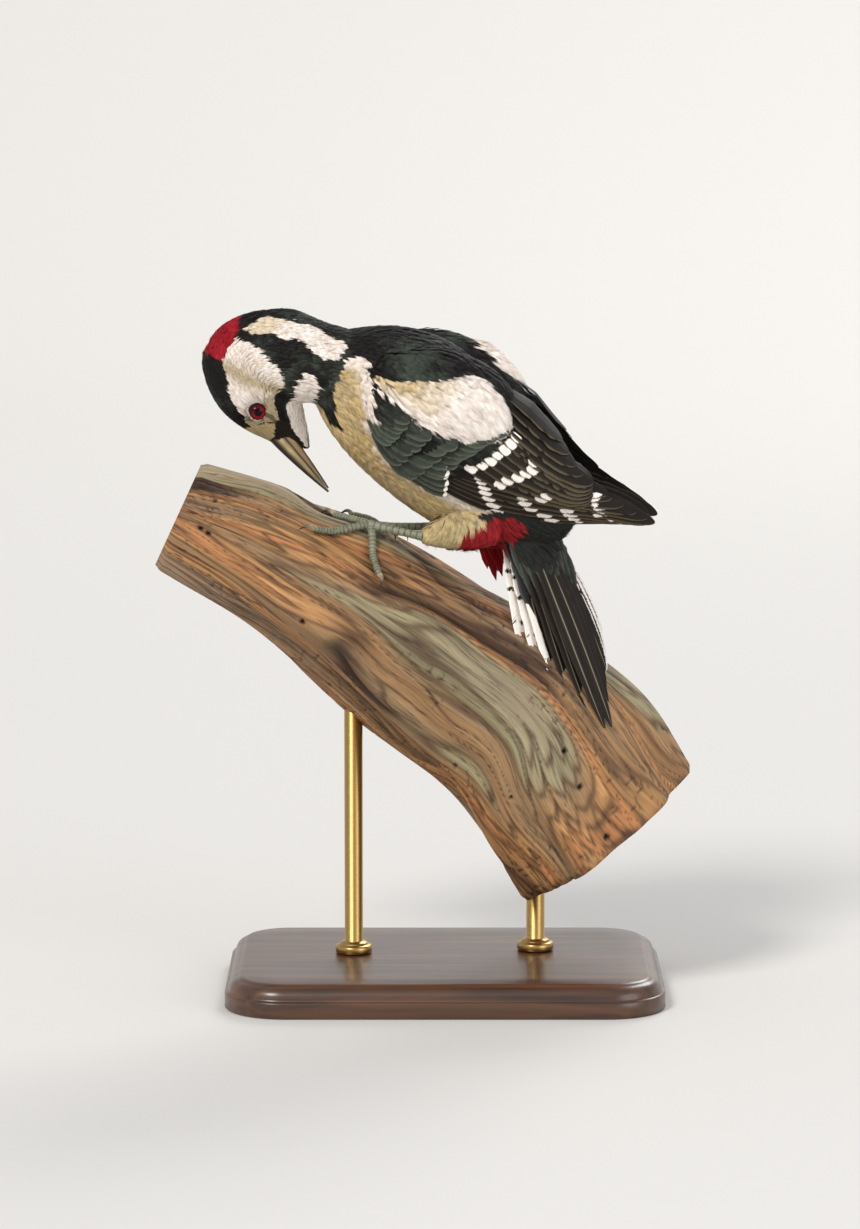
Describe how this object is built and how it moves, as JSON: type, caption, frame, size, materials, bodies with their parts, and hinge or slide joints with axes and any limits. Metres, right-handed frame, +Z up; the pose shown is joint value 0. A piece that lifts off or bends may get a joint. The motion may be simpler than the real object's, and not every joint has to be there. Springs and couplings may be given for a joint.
{
  "type": "great spotted woodpecker model",
  "caption": "Life-size still model of a great spotted woodpecker clinging to a cut limb, on a display stand with a flat base.",
  "frame": {"origin": "centre of the flat underside of the stand's base", "axes": "+Z up, the bird's left side towards -Y, its head towards -X"},
  "size_m": [0.2341, 0.132, 0.2989],
  "materials": {
    "plumage_pale": "matt feathers, buff below and white on cheek, shoulder and flank",
    "plumage_dark": "black feathers with a slight green gloss and white bars",
    "bill": "dark slate horn, paler along the sides, half matt",
    "eye": "glossy, red iris round a black pupil",
    "leg_skin": "grey-green scales, half matt",
    "claw": "dark horn, half gloss",
    "weathered_wood": "bare weathered wood, tan to orange-brown with dark grooves and grey-green streaks",
    "base_wood": "dark stained wood, satin",
    "rod": "brushed, satin"
  },
  "bodies": {
    "root": {"head": "plumage_pale", "bill_upper": "bill", "bill_lower": "bill", "eye_left": "eye", "eye_right": "eye", "neck": "plumage_dark", "torso": "plumage_pale", "wing_left": "plumage_dark", "wing_right": "plumage_dark", "tail": "plumage_dark", "thigh_left": "plumage_pale", "thigh_right": "plumage_pale", "shank_left": "leg_skin", "foot_left": "leg_skin", "shank_right": "leg_skin", "foot_right": "leg_skin", "claw_left_1": "claw", "claw_left_2": "claw", "claw_left_3": "claw", "claw_left_4": "claw", "claw_right_1": "claw", "claw_right_2": "claw", "claw_right_3": "claw", "claw_right_4": "claw", "perch_limb": "weathered_wood", "stand_base": "base_wood", "stand_rod_left": "rod", "stand_rod_right": "rod"}
  },
  "joints": []
}
